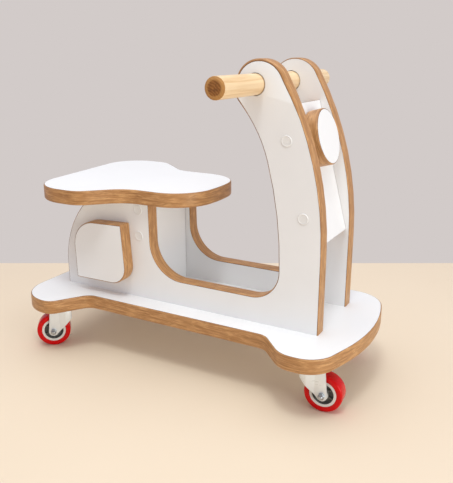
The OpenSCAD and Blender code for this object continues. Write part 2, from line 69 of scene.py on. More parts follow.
class Shader:
    """A principled material whose nodes are added by short calls."""

    def __init__(self, name, **sockets):
        self.mat = bpy.data.materials.new(name)
        self.mat.use_nodes = True
        self.tree = self.mat.node_tree
        self.bsdf = self.tree.nodes["Principled BSDF"]
        for key, value in sockets.items():
            self.bsdf.inputs[key.replace("_", " ")].default_value = value

    def add(self, kind, inputs=None, **props):
        made = self.tree.nodes.new("ShaderNode" + kind)
        for key, value in props.items():
            setattr(made, key, value)
        for key, value in (inputs or {}).items():
            if isinstance(value, bpy.types.NodeSocket):
                self.tree.links.new(value, made.inputs[key])
            else:
                made.inputs[key].default_value = value
        return made

    def place(self):
        return self.add("TexCoord").outputs["Object"]

    def grain_uv(self):
        return self.add("UVMap", uv_map=UV).outputs["UV"]

    def edge_uv(self):
        return self.add("UVMap", uv_map=EDGE_UV).outputs["UV"]

    def stretch(self, vector, scale, offset=(0, 0, 0)):
        return self.add("Mapping", {"Vector": vector, "Scale": scale, "Location": offset}).outputs[0]

    def noise(self, vector, scale, detail=4.0, rough=0.55, distort=0.0):
        return self.add(
            "TexNoise",
            {"Vector": vector, "Scale": scale, "Detail": detail, "Roughness": rough, "Distortion": distort},
        ).outputs["Fac"]

    def ramp(self, fac, *stops):
        made = self.add("ValToRGB", {"Fac": fac})
        ends = made.color_ramp.elements
        while len(ends) < len(stops):
            ends.new(0.5)
        for end, (at, colour) in zip(ends, stops):
            end.position = at
            end.color = grey(colour)
        return made.outputs["Color"]

    def mix(self, fac, a, b):
        made = self.add("Mix", {"Factor": fac}, data_type="RGBA", blend_type="MIX")
        for index, value in ((6, a), (7, b)):
            if isinstance(value, bpy.types.NodeSocket):
                self.tree.links.new(value, made.inputs[index])
            else:
                made.inputs[index].default_value = grey(value)
        return made.outputs[2]

    def math(self, operation, a, b=0.0):
        return self.add("Math", {0: a, 1: b}, operation=operation).outputs[0]

    def colour(self, socket):
        self.tree.links.new(socket, self.bsdf.inputs["Base Color"])

    def roughness(self, fac, low, high):
        made = self.add("MapRange", {"Value": fac, "To Min": low, "To Max": high})
        self.tree.links.new(made.outputs[0], self.bsdf.inputs["Roughness"])

    def bump(self, height, distance, strength=1.0):
        made = self.add("Bump", {"Height": height, "Distance": distance, "Strength": strength})
        self.tree.links.new(made.outputs[0], self.bsdf.inputs["Normal"])


def grey(value):
    """A colour with alpha, from one number or from three."""
    return (value, value, value, 1.0) if isinstance(value, (int, float)) else (*value[:3], 1.0)


def laminate(name, tint, mottle):
    """Satin white laminate: orange-peel bump, faint clouding and hair scuffs."""
    s = Shader(name, Specular_IOR_Level=0.45, Coat_Weight=0.12, Coat_Roughness=0.28)
    at = s.place()
    cloud = s.noise(at, 9.0, 3.0)
    scuff = s.noise(s.stretch(at, (14.0, 160.0, 160.0)), 3.0, 5.0, 0.7)
    clean = s.mix(s.ramp(cloud, (0.35, 0.0), (0.7, 1.0)), [c * (1 - mottle) for c in tint], tint)
    s.colour(s.mix(s.ramp(scuff, (0.66, 0.0), (0.8, 0.10)), clean, [c * 0.8 for c in tint]))
    s.roughness(scuff, 0.30, 0.46)
    s.bump(s.noise(at, 900.0, 2.0), 0.00003, 0.35)
    return s.mat


def ply_edge(name, plies=13, thick=0.0196, shade_line_wide=0.0024):
    """Oiled plywood edge: plies across it, streaks along it, and a dark line painted beside each skin as
    shade.
    """
    s = Shader(name, Specular_IOR_Level=0.35, Coat_Weight=0.10, Coat_Roughness=0.35)
    uv = s.grain_uv()
    streak = s.noise(s.stretch(uv, (26.0, 520.0, 1.0)), 1.0, 6.0, 0.66, 0.4)
    figure = s.noise(s.stretch(uv, (16.0, 55.0, 1.0)), 1.0, 3.0, 0.5, 0.8)
    pore = s.noise(s.stretch(uv, (95.0, 2300.0, 1.0)), 1.0, 2.0, 0.5)
    across = s.add("SeparateXYZ", {"Vector": uv}).outputs["Y"]
    layer = s.math("SINE", s.math("MULTIPLY", across, 2 * math.pi * plies / 2 / thick))
    wood = s.ramp(
        streak,
        (0.28, (0.190, 0.078, 0.020)),
        (0.43, (0.370, 0.172, 0.058)),
        (0.57, (0.520, 0.265, 0.100)),
        (0.72, (0.730, 0.425, 0.185)),
    )
    blotch = s.noise(s.stretch(uv, (60.0, 260.0, 1.0)), 1.0, 3.0, 0.6, 0.5)
    wood = s.mix(s.ramp(figure, (0.3, 0.0), (0.75, 0.4)), wood, (0.56, 0.305, 0.130))
    wood = s.mix(s.ramp(blotch, (0.36, 0.32), (0.5, 0.0)), wood, (0.33, 0.142, 0.040))
    wood = s.mix(s.ramp(blotch, (0.52, 0.0), (0.68, 0.45)), wood, (0.77, 0.45, 0.19))
    wood = s.mix(s.ramp(layer, (0.1, 0.0), (0.9, 0.07)), wood, (0.25, 0.11, 0.04))
    wood = s.mix(s.ramp(pore, (0.60, 0.0), (0.72, 0.6)), wood, (0.17, 0.07, 0.025))
    # Painted shade: a dark line along each skin, where the skin meets the core.
    near = s.add("SeparateXYZ", {"Vector": s.edge_uv()}).outputs["Y"]
    skin_shade_line = s.math("ADD", s.math("DIVIDE", near, shade_line_wide), s.math("MULTIPLY", figure, 0.6))
    wood = s.mix(s.ramp(skin_shade_line, (0.7, 0.9), (1.1, 0.0)), wood, (0.105, 0.042, 0.016))
    s.colour(wood)
    s.roughness(streak, 0.50, 0.36)
    s.bump(s.math("ADD", pore, s.math("MULTIPLY", layer, 0.25)), 0.00006, 0.5)
    return s.mat


def rod_wood(name):
    """Pale oiled hardwood turned from one blank, with its grain along Y."""
    s = Shader(name, Specular_IOR_Level=0.4, Coat_Weight=0.15, Coat_Roughness=0.3)
    at = s.place()
    streak = s.noise(s.stretch(at, (230.0, 7.0, 230.0)), 1.0, 6.0, 0.6, 0.5)
    figure = s.noise(s.stretch(at, (70.0, 4.0, 70.0)), 1.0, 2.0, 0.5, 1.2)
    pore = s.noise(s.stretch(at, (1600.0, 45.0, 1600.0)), 1.0, 2.0, 0.5)
    wood = s.ramp(
        streak,
        (0.28, (0.66, 0.42, 0.20)),
        (0.5, (0.82, 0.59, 0.335)),
        (0.72, (0.90, 0.72, 0.47)),
    )
    wood = s.mix(s.ramp(figure, (0.4, 0.0), (0.7, 0.55)), wood, (0.88, 0.68, 0.42))
    wood = s.mix(s.ramp(pore, (0.63, 0.0), (0.75, 0.35)), wood, (0.50, 0.28, 0.11))
    s.colour(wood)
    s.roughness(streak, 0.46, 0.34)
    s.bump(pore, 0.00005, 0.4)
    return s.mat


def end_grain(name, centre, face_r, heart=(0.011, 0.016)):
    """Dark end grain: growth rings round a heart off the rod's axis, and a painted highlight, a paler wood
    colour, on the eased edge past face_r.
    """
    s = Shader(name, Specular_IOR_Level=0.3)
    at = s.stretch(s.place(), (1.0, 0.0, 1.0), (-centre[0] + heart[0], 0.0, -centre[2] + heart[1]))
    rings = s.add(
        "TexWave",
        {"Vector": at, "Scale": 110.0, "Distortion": 3.0, "Detail": 3.0, "Detail Scale": 1.5},
        wave_type="RINGS", rings_direction="Y",
    ).outputs["Fac"]
    pore = s.noise(at, 2200.0, 2.0)
    wood = s.ramp(
        rings,
        (0.1, (0.25, 0.095, 0.020)),
        (0.6, (0.32, 0.125, 0.027)),
        (0.95, (0.39, 0.165, 0.042)),
    )
    patch = s.noise(at, 190.0, 4.0, 0.65)
    wood = s.mix(s.ramp(patch, (0.4, 0.0), (0.66, 0.75)), wood, (0.12, 0.042, 0.012))
    # Painted highlight: the eased edge past face_r is made paler, standing for light caught on its
    # rounding.
    off_axis = s.stretch(s.place(), (1.0, 0.0, 1.0), (-centre[0], 0.0, -centre[2]))
    out = s.add("VectorMath", {0: off_axis}, operation="LENGTH").outputs["Value"]
    out = s.math("ADD", out, s.math("MULTIPLY", patch, 0.002))
    eased = s.ramp(s.math("MULTIPLY", out, 1 / face_r), (0.88, 0.0), (1.16, 0.7))
    wood = s.mix(eased, wood, (0.54, 0.275, 0.085))
    s.colour(s.mix(s.ramp(pore, (0.6, 0.0), (0.72, 0.6)), wood, (0.09, 0.03, 0.01)))
    s.roughness(rings, 0.7, 0.55)
    s.bump(pore, 0.00008, 0.6)
    return s.mat


def batten_wood(name):
    """Sawn softwood with its grain along X."""
    s = Shader(name, Specular_IOR_Level=0.3)
    at = s.place()
    streak = s.noise(s.stretch(at, (9.0, 190.0, 190.0)), 1.0, 5.0, 0.6, 0.6)
    s.colour(s.ramp(
        streak,
        (0.3, (0.50, 0.30, 0.13)),
        (0.55, (0.68, 0.46, 0.24)),
        (0.75, (0.76, 0.56, 0.32)),
    ))
    s.roughness(streak, 0.7, 0.55)
    s.bump(streak, 0.0001, 0.4)
    return s.mat


def metal(name, tint, rough, brush, tarnish=0.25, metallic=0.9, relief=0.3):
    """Plated steel: cloudy plating, fine brushing and a little tarnish."""
    s = Shader(name, Metallic=metallic, Specular_IOR_Level=0.5)
    at = s.place()
    cloud = s.noise(at, 60.0, 4.0, 0.6)
    fine = s.noise(s.stretch(at, brush), 1.0, 3.0, 0.6)
    s.colour(s.mix(s.ramp(cloud, (0.35, 0.0), (0.75, tarnish)), tint, [c * 0.6 for c in tint]))
    s.roughness(s.math("MULTIPLY", s.math("ADD", cloud, fine), 0.5), rough * 0.7, rough * 1.3)
    s.bump(fine, 0.00003, relief)
    return s.mat


def plastic(name, tint, rough):
    """Moulded plastic: fine spark texture and slight shade change."""
    s = Shader(name, Specular_IOR_Level=0.45)
    at = s.place()
    cloud = s.noise(at, 70.0, 3.0)
    s.colour(s.mix(s.ramp(cloud, (0.35, 0.0), (0.7, 1.0)), [c * 0.93 for c in tint], tint))
    s.roughness(s.noise(at, 240.0, 3.0), rough - 0.06, rough + 0.08)
    s.bump(s.noise(at, 700.0, 2.0), 0.00003, 0.4)
    return s.mat


def polyurethane(name):
    """Clear-red cast polyurethane: glossy, a little deeper in random clouds, with road dust in its tread.
    """
    s = Shader(name, Specular_IOR_Level=0.22)
    at = s.place()
    cloud = s.noise(at, 95.0, 3.0)
    red = s.mix(s.ramp(cloud, (0.35, 0.0), (0.7, 1.0)), (0.54, 0.001, 0.002), (0.70, 0.001, 0.002))
    dust = s.noise(s.stretch(at, (260.0, 260.0, 90.0)), 1.0, 5.0, 0.7)
    s.colour(s.mix(s.ramp(dust, (0.62, 0.0), (0.78, 0.2)), red, (0.42, 0.02, 0.02)))
    s.roughness(dust, 0.10, 0.26)
    s.bump(s.noise(at, 160.0, 3.0), 0.00006, 0.35)
    return s.mat


WHITE = laminate("White laminate", (0.90, 0.90, 0.895), 0.02)
BODY = laminate("Body laminate", (0.855, 0.850, 0.835), 0.03)
PLY = ply_edge("Plywood edge")
ROD = rod_wood("Rod wood")
# End grain for the rod's ends, with a painted highlight on their eased edge; it also paints shade into the
# rod's grooves.
END_GRAIN_AND_GROOVE_SHADE = end_grain("Rod end grain and groove shade", BAR, BAR_R - EASE_IN * MM)
BATTEN = batten_wood("Batten wood")
ZINC = metal("Zinc plate", (0.81, 0.85, 0.86), 0.30, (40.0, 40.0, 900.0), 0.10, metallic=0.5, relief=0.08)
BOLT = metal("Bolt steel", (0.46, 0.48, 0.50), 0.25, (500.0, 500.0, 60.0))
SCREW = metal("Screw steel", (0.60, 0.60, 0.60), 0.35, (400.0, 400.0, 80.0))
BALL = metal("Ball steel", (0.75, 0.76, 0.77), 0.12, (90.0, 90.0, 90.0), 0.1)
HUB = plastic("Hub plastic", (0.76, 0.74, 0.68), 0.45)
# Painted shade: a dark plastic put in the hub's dish, where the recess lies in shade.
HUB_RECESS_SHADE = plastic("Hub recess shade", (0.17, 0.165, 0.145), 0.5)
CAP = plastic("Cap plastic", (0.84, 0.83, 0.80), 0.38)
RED = polyurethane("Red polyurethane")


# ---------------------------------------------------------------- mesh tools

def welded(node):
    """The CAD node's mesh with its doubled corners joined."""
    bm = bmesh.new()
    bm.from_mesh(NODES[node].data)
    bmesh.ops.remove_doubles(bm, verts=bm.verts, dist=1e-6)
    return bm


def round_edges(bm, width, sharpest, segments=2):
    """Rounds every edge that turns by more than sharpest, in degrees."""
    edges = [e for e in bm.edges if len(e.link_faces) == 2]
    edges = [e for e in edges if e.calc_face_angle(0.0) > math.radians(sharpest)]
    bmesh.ops.bevel(
        bm, geom=edges, offset=width, offset_type="OFFSET", segments=segments, profile=0.5,
        affect="EDGES", clamp_overlap=True,
    )


def piece(name, bm, body, mats, replaced=(), smooth_angle=32.0):
    """Turns a bmesh into a shown piece that rides on a body."""
    mesh = bpy.data.meshes.new(name)
    bmesh.ops.recalc_face_normals(bm, faces=bm.faces)
    for face in bm.faces:
        face.smooth = True
    bm.to_mesh(mesh)
    bm.free()
    mesh.set_sharp_from_angle(angle=math.radians(smooth_angle))
    for mat in mats:
        mesh.materials.append(mat)
    made = bpy.data.objects.new(name, mesh)
    bpy.context.scene.collection.objects.link(made)
    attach(made, body)
    if replaced:
        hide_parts(*replaced)


def softened(node, body, mat, width, segments=3):
    """The CAD node's own shape with its sharp edges rounded."""
    bm = welded(node)
    bmesh.ops.dissolve_limit(bm, angle_limit=math.radians(0.5), verts=bm.verts, edges=bm.edges)
    round_edges(bm, width, 30, segments)
    piece(node + "_shape", bm, body, [mat], [node])


def sheet_axes(node):
    """Normal of a flat sheet's broad faces, and two axes in its plane."""
    bm = welded(node)
    sums = {}
    for face in bm.faces:
        key = tuple(round(abs(c), 2) for c in face.normal)
        sums.setdefault(key, [0.0, face.normal.copy()])[0] += face.calc_area()
    bm.free()
    normal = max(sums.values(), key=lambda entry: entry[0])[1]
    if max(normal, key=abs) < 0:
        normal.negate()
    along = Vector((1, 0, 0)) if abs(normal.x) < 0.5 else Vector((0, 1, 0))
    u = (along - along.dot(normal) * normal).normalized()
    return normal, u, normal.cross(u)


def outlines(node, normal, u, v):
    """Closed loops, in u and v, round the sheet's upper face, the largest first, and its two levels."""
    bm = welded(node)
    levels = [vert.co.dot(normal) for vert in bm.verts]
    top = max(levels)
    facing = [f for f in bm.faces if f.normal.dot(normal) > 0.99]
    flat = dict.fromkeys(f for f in facing if abs(f.verts[0].co.dot(normal) - top) < 1e-5)
    rim = {}
    for face in flat:
        for loop in face.loops:
            if not any(other in flat for other in loop.edge.link_faces if other is not face):
                rim[loop.vert.index] = loop.link_loop_next.vert.index
    bm.verts.ensure_lookup_table()
    loops = []
    while rim:
        start = next(iter(rim))
        chain, at = [], start
        while at in rim:
            chain.append(at)
            at = rim.pop(at)
        loops.append([Vector((bm.verts[i].co.dot(u), bm.verts[i].co.dot(v))) for i in chain])
    bm.free()
    loops.sort(key=lambda pts: -abs(loop_area(pts)))
    return loops, min(levels), top


def loop_area(points):
    return sum(a.cross(b) for a, b in zip(points, points[1:] + points[:1])) / 2


def tidy_loop(points, step=0.0004):
    """The loop without near-double points, anticlockwise."""
    kept = []
    for point in points:
        if not kept or (point - kept[-1]).length > step:
            kept.append(point)
    if (kept[0] - kept[-1]).length < step:
        kept.pop()
    return kept if loop_area(kept) > 0 else kept[::-1]


def finer(points, longest=0.006):
    """Splits long runs, so that grain and shading have points to hold on to."""
    out = []
    for a, b in zip(points, points[1:] + points[:1]):
        parts = max(1, math.ceil((b - a).length / longest))
        out += [a.lerp(b, k / parts) for k in range(parts)]
    return out


def running(points):
    """Distance of each point from the first, along the line through them."""
    total = [0.0]
    for a, b in zip(points, points[1:]):
        total.append(total[-1] + (b - a).length)
    return total


def inset(points, amount):
    """The loop moved inwards by amount, each corner along its mitre."""
    out = []
    for k, point in enumerate(points):
        before = (point - points[k - 1]).normalized()
        after = (points[(k + 1) % len(points)] - point).normalized()
        na, nb = Vector((-before.y, before.x)), Vector((-after.y, after.x))
        mitre = (na + nb).normalized()
        out.append(point + mitre * amount / max(0.5, mitre.dot(nb)))
    return out


def circle(centre, radius, steps=64):
    turns = [2 * math.pi * k / steps for k in range(steps)]
    return [centre + radius * Vector((math.cos(t), math.sin(t))) for t in turns]


class Sheet:
    """A board's frame: normal and in-plane axes, with its outline and levels."""

    def __init__(self, node, foot=None, spread=None, radius=None):
        self.normal, self.u, self.v = sheet_axes(node)
        loops, self.low, self.high = outlines(node, self.normal, self.u, self.v)
        self.rim = finer(tidy_loop(loops[0]))
        if radius:
            low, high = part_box(node)
            middle = (low + high) / 2
            self.rim = circle(Vector((middle.dot(self.u), middle.dot(self.v))), radius, 96)
        self.foot = foot
        self.spread = spread or (lambda place: 1.0)

    def at(self, point, level):
        return self.u * point.x + self.v * point.y + self.normal * level

    def ring(self, depth, level):
        """The outline moved in by depth times the spread, with its foot kept on what it stands on."""
        places = [self.at(p, level) for p in self.rim]
        inward = [moved - p for moved, p in zip(inset(self.rim, 1.0), self.rim)]
        ring = []
        for place, way in zip(places, inward):
            new = place + (self.u * way.x + self.v * way.y) * depth * self.spread(place)
            if self.foot is not None and abs(place.z - self.foot) < 1e-5:
                new.z = self.foot
            ring.append(new)
        return ring

    def build(self, profile, holes=()):
        """A solid whose edge follows profile, a list of (inset, level) from its lower face up."""
        bm = bmesh.new()
        uv = bm.loops.layers.uv.new(UV)
        edge_uv = bm.loops.layers.uv.new(EDGE_UV)
        rings = [[bm.verts.new(place) for place in self.ring(*step)] for step in profile]
        self.edge(bm, uv, edge_uv, rings, profile)
        bores = [self.bore(bm, hole, profile[0][1], profile[-1][1]) for hole in holes]
        self.cap(bm, uv, rings[0], [low for low, high in bores])
        self.cap(bm, uv, rings[-1], [high for low, high in bores])
        return bm

    def edge(self, bm, uv, edge_uv, rings, profile):
        """Joins the rings, with texture places measured along and across the edge."""
        run = running(self.rim + self.rim[:1])
        rise = running([Vector(step) for step in profile])
        count = len(self.rim)
        for r in range(len(rings) - 1):
            for k in range(count):
                m = (k + 1) % count
                face = bm.faces.new((rings[r][k], rings[r][m], rings[r + 1][m], rings[r + 1][k]))
                runs = (run[k], run[k + 1], run[k + 1], run[k])
                rises = (rise[r], rise[r], rise[r + 1], rise[r + 1])
                for loop, along, across in zip(face.loops, runs, rises):
                    loop[uv].uv = (along, across)
                    loop[edge_uv].uv = (along, min(across, rise[-1] - across))

    def bore(self, bm, hole, low, high):
        """The wall of a round hole between two levels."""
        ends = [[bm.verts.new(self.at(p, level)) for p in circle(*hole)] for level in (low, high)]
        for k in range(len(ends[0])):
            m = (k + 1) % len(ends[0])
            bm.faces.new((ends[0][m], ends[0][k], ends[1][k], ends[1][m]))
        return ends

    def cap(self, bm, uv, ring, bores):
        """Fills a broad face, round its holes."""
        edges = []
        for loop in [ring] + bores:
            for k, vert in enumerate(loop):
                after = loop[(k + 1) % len(loop)]
                edges.append(bm.edges.get((vert, after)) or bm.edges.new((vert, after)))
        if bores:
            faces = bmesh.ops.triangle_fill(bm, use_beauty=True, edges=edges)["geom"]
            faces = [f for f in faces if isinstance(f, bmesh.types.BMFace)]
        else:
            faces = [bm.faces.new(ring)]
        for face in faces:
            for loop in face.loops:
                loop[uv].uv = (loop.vert.co.dot(self.u), loop.vert.co.dot(self.v))


# ---------------------------------------------------------------- boards

SKIN = 0.8 * MM
SKIN_BREAK = 0.12 * MM

# How far the cores' rounded edges reach in from the outline and down from the face; the two hidden
# boards have nearly square edges.
ROUND_IN = 1.5 * MM
ROUND_DEEP = 2.4 * MM
ROUND_STEPS = 6
SQUARE_IN = 0.4 * MM

# Gap round the rod where it passes through the panels.
BORE_GAP = 0.8 * MM


def rounding(low, high, into):
    """Edge profile of a core between its two skins, rounded at both faces."""
    steps = [math.pi / 2 * k / ROUND_STEPS for k in range(ROUND_STEPS + 1)]
    down = [(into * (1 - math.sin(t)), low + ROUND_DEEP * (1 - math.cos(t))) for t in steps]
    up = [(d, high - (level - low)) for d, level in reversed(down)]
    return [(into, low + SKIN)] + down + up + [(into, high - SKIN)]


def skin_profile(low, high, into, outward):
    """Edge profile of a skin whose outer face is its upper one if outward is 1, else its lower one."""
    shape = [(into, low), (into, high - SKIN_BREAK), (into + SKIN_BREAK, high)]
    if outward < 0:
        shape = [(into + SKIN_BREAK, low), (into, low + SKIN_BREAK), (into, high)]
    return shape


def board(name, core, skins, skin_mat, skin_slot, holes=(), into=ROUND_IN, sides=(1, -1), **shape):
    """A laminated board: rounded plywood core with a skin on each of the sides."""
    sheet = Sheet(core, **shape)
    low, high = sheet.low - (SKIN if -1 in sides else 0), sheet.high + (SKIN if 1 in sides else 0)
    spots = [(Vector((c.dot(sheet.u), c.dot(sheet.v))), r) for c, r in holes]
    bm = sheet.build(rounding(low, high, into), spots)
    piece(name + "_core", bm, "frame", [PLY], [core])
    for side in sides:
        level = (high - SKIN, high) if side > 0 else (low, low + SKIN)
        bm = sheet.build(skin_profile(*level, into, side), spots)
        label = name + ("_skin_a" if side > 0 else "_skin_b")
        piece(label, bm, "frame", [skin_mat], skins if side == sides[0] else ())


panel_low, panel_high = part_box("left_panel_core")
DECK_TOP = panel_low.z
PANEL_MID = (panel_low.y + panel_high.y) / 2

# Heights in metres between which the panels' outer rounding grows, and the share by which it grows.
HEAD_FROM = 0.345
HEAD_TO = 0.395
HEAD_WIDER = 1.1


def head_spread(place):
    """The panels' outer edges are rounded off more round their heads."""
    t = min(1.0, max(0.0, (place.z - HEAD_FROM) / (HEAD_TO - HEAD_FROM)))
    return 1 + HEAD_WIDER * t * t * (3 - 2 * t) if abs(place.y) > PANEL_MID else 1.0


board("deck", "deck_core", ["deck_top_laminate", "deck_bottom_laminate"], WHITE, "white_laminate")
board("seat", "seat_core", ["seat_top_laminate", "seat_bottom_laminate"], WHITE, "white_laminate")
for side in SIDES:
    panel, cover = side + "_panel", side + "_cover"
    skins = [panel + "_outer_laminate", panel + "_inner_laminate"]
    board(panel, panel + "_core", skins, BODY, "body_laminate",
          holes=[(BAR, BAR_R + BORE_GAP)], foot=DECK_TOP, spread=head_spread)
    board(cover, cover + "_core", [cover + "_laminates"], BODY, "body_laminate")
board("rear_board", "rear_board_core", ["rear_board_laminates"], BODY, "body_laminate",
      into=SQUARE_IN, foot=DECK_TOP)
board("fascia", "fascia_core", ["fascia_laminates"], WHITE, "white_laminate", into=SQUARE_IN)
light_low, light_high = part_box("headlight_core")
board("headlight", "headlight_core", ["headlight_face"], WHITE, "white_laminate", sides=(1,),
      radius=(light_high.y - light_low.y) / 2)


# ---------------------------------------------------------------- turned pieces

def filleted(corners, closed=True):
    """Points of a profile of (radius, height, fillet) corners, each rounded by its fillet."""
    points = []
    count = len(corners)
    for k, (r, h, fillet) in enumerate(corners):
        here = Vector((r, h))
        if not closed and k in (0, count - 1) or fillet <= 0:
            points.append(here)
            continue
        before = Vector(corners[k - 1][:2]) - here
        after = Vector(corners[(k + 1) % count][:2]) - here
        half = before.angle(after) / 2
        reach = min(fillet / math.tan(half), before.length * 0.49, after.length * 0.49)
        a, b = here + before.normalized() * reach, here + after.normalized() * reach
        steps = max(3, math.ceil((math.pi - 2 * half) / math.radians(18)))
        for n in range(steps + 1):
            t = n / steps
            points.append((1 - t) ** 2 * a + 2 * t * (1 - t) * here + t * t * b)
    return points


def lathe(bm, corners, place, closed=True, steps=72):
    """Adds the surface that a profile makes round place's Z axis; an open profile ends on that axis."""
    turns = [2 * math.pi * k / steps for k in range(steps)]
    rings = []
    for p in (p * MM for p in filleted(corners, closed)):
        if p.x < 1e-7:
            rings.append([bm.verts.new(place @ Vector((0, 0, p.y)))] * steps)
            continue
        round_it = [Vector((p.x * math.cos(t), p.x * math.sin(t), p.y)) for t in turns]
        rings.append([bm.verts.new(place @ at) for at in round_it])
    pairs = list(zip(rings, rings[1:])) + ([(rings[-1], rings[0])] if closed else [])
    for low, high in pairs:
        for k in range(steps):
            m = (k + 1) % steps
            face = []
            for vert in (low[k], low[m], high[m], high[k]):
                if vert not in face:
                    face.append(vert)
            bm.faces.new(face)


def prism(bm, outline, low, high, place, bevel):
    """Adds an outline, in mm, extruded between two heights of place, with its edges rounded."""
    rings = []
    for h in (low, high):
        rings.append([bm.verts.new(place @ Vector((p[0] * MM, p[1] * MM, h * MM))) for p in outline])
    faces = [bm.faces.new(rings[0][::-1]), bm.faces.new(rings[1])]
    count = len(outline)
    for k in range(count):
        m = (k + 1) % count
        faces.append(bm.faces.new((rings[0][k], rings[0][m], rings[1][m], rings[1][k])))
    edges = dict.fromkeys(e for f in faces for e in f.edges if e.calc_face_angle(0.0) > math.radians(25))
    bmesh.ops.bevel(
        bm, geom=list(edges), offset=bevel * MM, offset_type="OFFSET", segments=2, profile=0.5,
        affect="EDGES", clamp_overlap=True,
    )


def islands(node):
    """Centre and size of each separate solid in a CAD node, in metres."""
    bm = welded(node)
    left = dict.fromkeys(bm.verts)
    found = []
    while left:
        group, todo = [], [left.popitem()[0]]
        while todo:
            vert = todo.pop()
            group.append(vert.co.copy())
            for edge in vert.link_edges:
                other = edge.other_vert(vert)
                if other in left:
                    del left[other]
                    todo.append(other)
        low = Vector([min(c[k] for c in group) for k in range(3)])
        high = Vector([max(c[k] for c in group) for k in range(3)])
        found.append(((low + high) / 2, high - low))
    bm.free()
    return found


# The groove round the rod against each panel, in mm; what is deeper than GROOVE_DARK is painted dark as
# shade with the end-grain material.
GROOVE = 0.4
GROOVE_W = 1.2
GROOVE_DARK = 0.25


def handlebar():
    """The rod: turned, with eased ends of end grain and a cut groove against each panel, whose deeper faces
    are painted dark as shade.
    """
    along = Matrix.Translation(BAR) @ Matrix.Rotation(math.radians(90), 4, "X")
    half, radius = (bar_high.y - bar_low.y) / 2 / MM, BAR_R / MM
    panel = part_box("left_panel_outer_laminate")[1].y / MM
    side = [(radius, panel, 0), (radius - GROOVE, panel, 0)]
    side += [(radius - GROOVE, panel + GROOVE_W, 0), (radius, panel + GROOVE_W, 0)]
    side += [(radius, half - EASE_DEEP, 0.9), (radius - EASE_IN, half, 0.8), (0, half, 0)]
    corners = [(r, -z, fillet) for r, z, fillet in reversed(side)] + side
    bm = bmesh.new()
    lathe(bm, corners, along, closed=False, steps=96)
    bm.normal_update()
    for face in bm.faces:
        at = face.calc_center_median()
        eased = abs(at.y) > (half - EASE_DEEP) * MM
        # Painted shade: the groove's deeper faces take the dark end-grain material.
        grooved = math.hypot(at.x - BAR.x, at.z - BAR.z) < BAR_R - GROOVE_DARK * MM
        face.material_index = 1 if eased or grooved else 0
    piece("handlebar_rod", bm, "frame", [ROD, END_GRAIN_AND_GROOVE_SHADE], ["handlebar"])


# The caps' raised ring, as distances in from their rim, in mm.
CAP_RING = (0.45, 1.2)
CAP_DISH = 1.7


def screw_caps():
    """Press-in caps: a raised ring round a slightly dished centre."""
    bm = bmesh.new()
    for centre, size in islands("screw_caps"):
        out = 1 if centre.y > 0 else -1
        place = Matrix.Translation(centre - Vector((0, out * size.y / 2, 0)))
        place @= Matrix.Rotation(math.radians(-90 * out), 4, "X")
        r, t = size.x / 2 / MM, size.y / MM
        corners = [(0, 0, 0), (r, 0, 0.05), (r, t * 0.55, 0.2)]
        corners += [(r - inwards, t, 0.25) for inwards in CAP_RING]
        corners += [(r - CAP_DISH, t * 0.72, 0.3), (0, t * 0.66, 0)]
        lathe(bm, corners, place, closed=False)
    piece("screw_cap_set", bm, "frame", [CAP], ["screw_caps"])


handlebar()
screw_caps()


# ---------------------------------------------------------------- casters

# A caster's sizes, all in mm. First its fork's legs, each pressed from one sheet.
LEG_T = 1.9
LEG_OUT = 14.4  # outer face, from the wheel's middle
LEG_END = 7.0  # radius of the lower end, on the axle
LEG_TOP = 3.0  # front edge at the crown, ahead of the axle
LEG_WING = 9.0  # rear edge, behind the swivel axis
LEG_WING_Z = 45.5  # height of the rear edge's foot
LEG_BREAK = 0.35

# The legs are flat over the axle and flare from CREASE behind it; the sheet is cut where it bends.
CREASE = 9.5
BEND_CUTS = (-0.6, -0.3, 0, 0.3, 0.6)
BEND_SOFTEN = 0.4
WING_CUT = 1.5

# The crown plate, and the rim of the ball race on it.
CROWN_R = 19.4
CROWN_T = 2.2
CROWN_BREAK = 0.6
CROWN_CORNER = 3
CROWN_IN = 0.1  # the legs' faces stand this far inside the crown's edge
RIM_H = 3.2
RIM_T = 2.1
RIM_SINK = 0.3

# The wheel centre: rim ring, web, boss with its bore, and ribs.
HUB_R = 17.25
HUB_FACE = 9.5
RECESS_R = 13.8
WEB_FACE = 3.0
BOSS_R = 7.2
BOSS_FACE = 11.5
BORE_R = 4.62
RIBS = 6
RIB_HALF = 0.7
RIB_FACE = 6.4

# The tyre: half width, radii of the lip against the wheel centre, and fillet of the shoulders.
TYRE_HALF = 10.0
LIP_IN = 17.2
LIP_MID = 17.9
LIP_OUT = 18.8
SHOULDER = 5.2

# The axle bolt and its nut.
HEX_ACROSS = 8.0
HEX_H = 3.4
HEX_BREAK = 0.35
WASHER_R = 4.3
BOLT_R = 2.45
BOLT_PAST = 6.3
PITCH = 0.8
THREAD_TURNS = 8


class Caster:
    """One caster's own frame, from its joints: swivel axis on Z, wheel towards +X, floor at z = 0."""

    def __init__(self, name):
        self.name = name
        swivel = Vector(JOINTS[name + "_swivel"]["pos_m"])
        roll = Vector(JOINTS[name + "_roll"]["pos_m"])
        arm = roll - swivel
        heading = Matrix.Rotation(math.atan2(arm.y, arm.x), 4, "Z")
        self.trail = math.hypot(arm.x, arm.y) / MM
        self.axle_z = roll.z / MM
        self.place = Matrix.Translation((swivel.x, swivel.y, 0)) @ heading
        low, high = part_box(name + "_axle_nut")
        self.nut_side = 1 if (self.place.inverted() @ ((low + high) / 2)).y > 0 else -1
        self.crown_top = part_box(name + "_fork")[1].z / MM - RIM_H

    def axle(self, side=1):
        """Frame with Z out along the axle, towards one side of the wheel."""
        at = Matrix.Translation((self.trail * MM, 0, self.axle_z * MM))
        return self.place @ at @ Matrix.Rotation(math.radians(-90 * side), 4, "X")


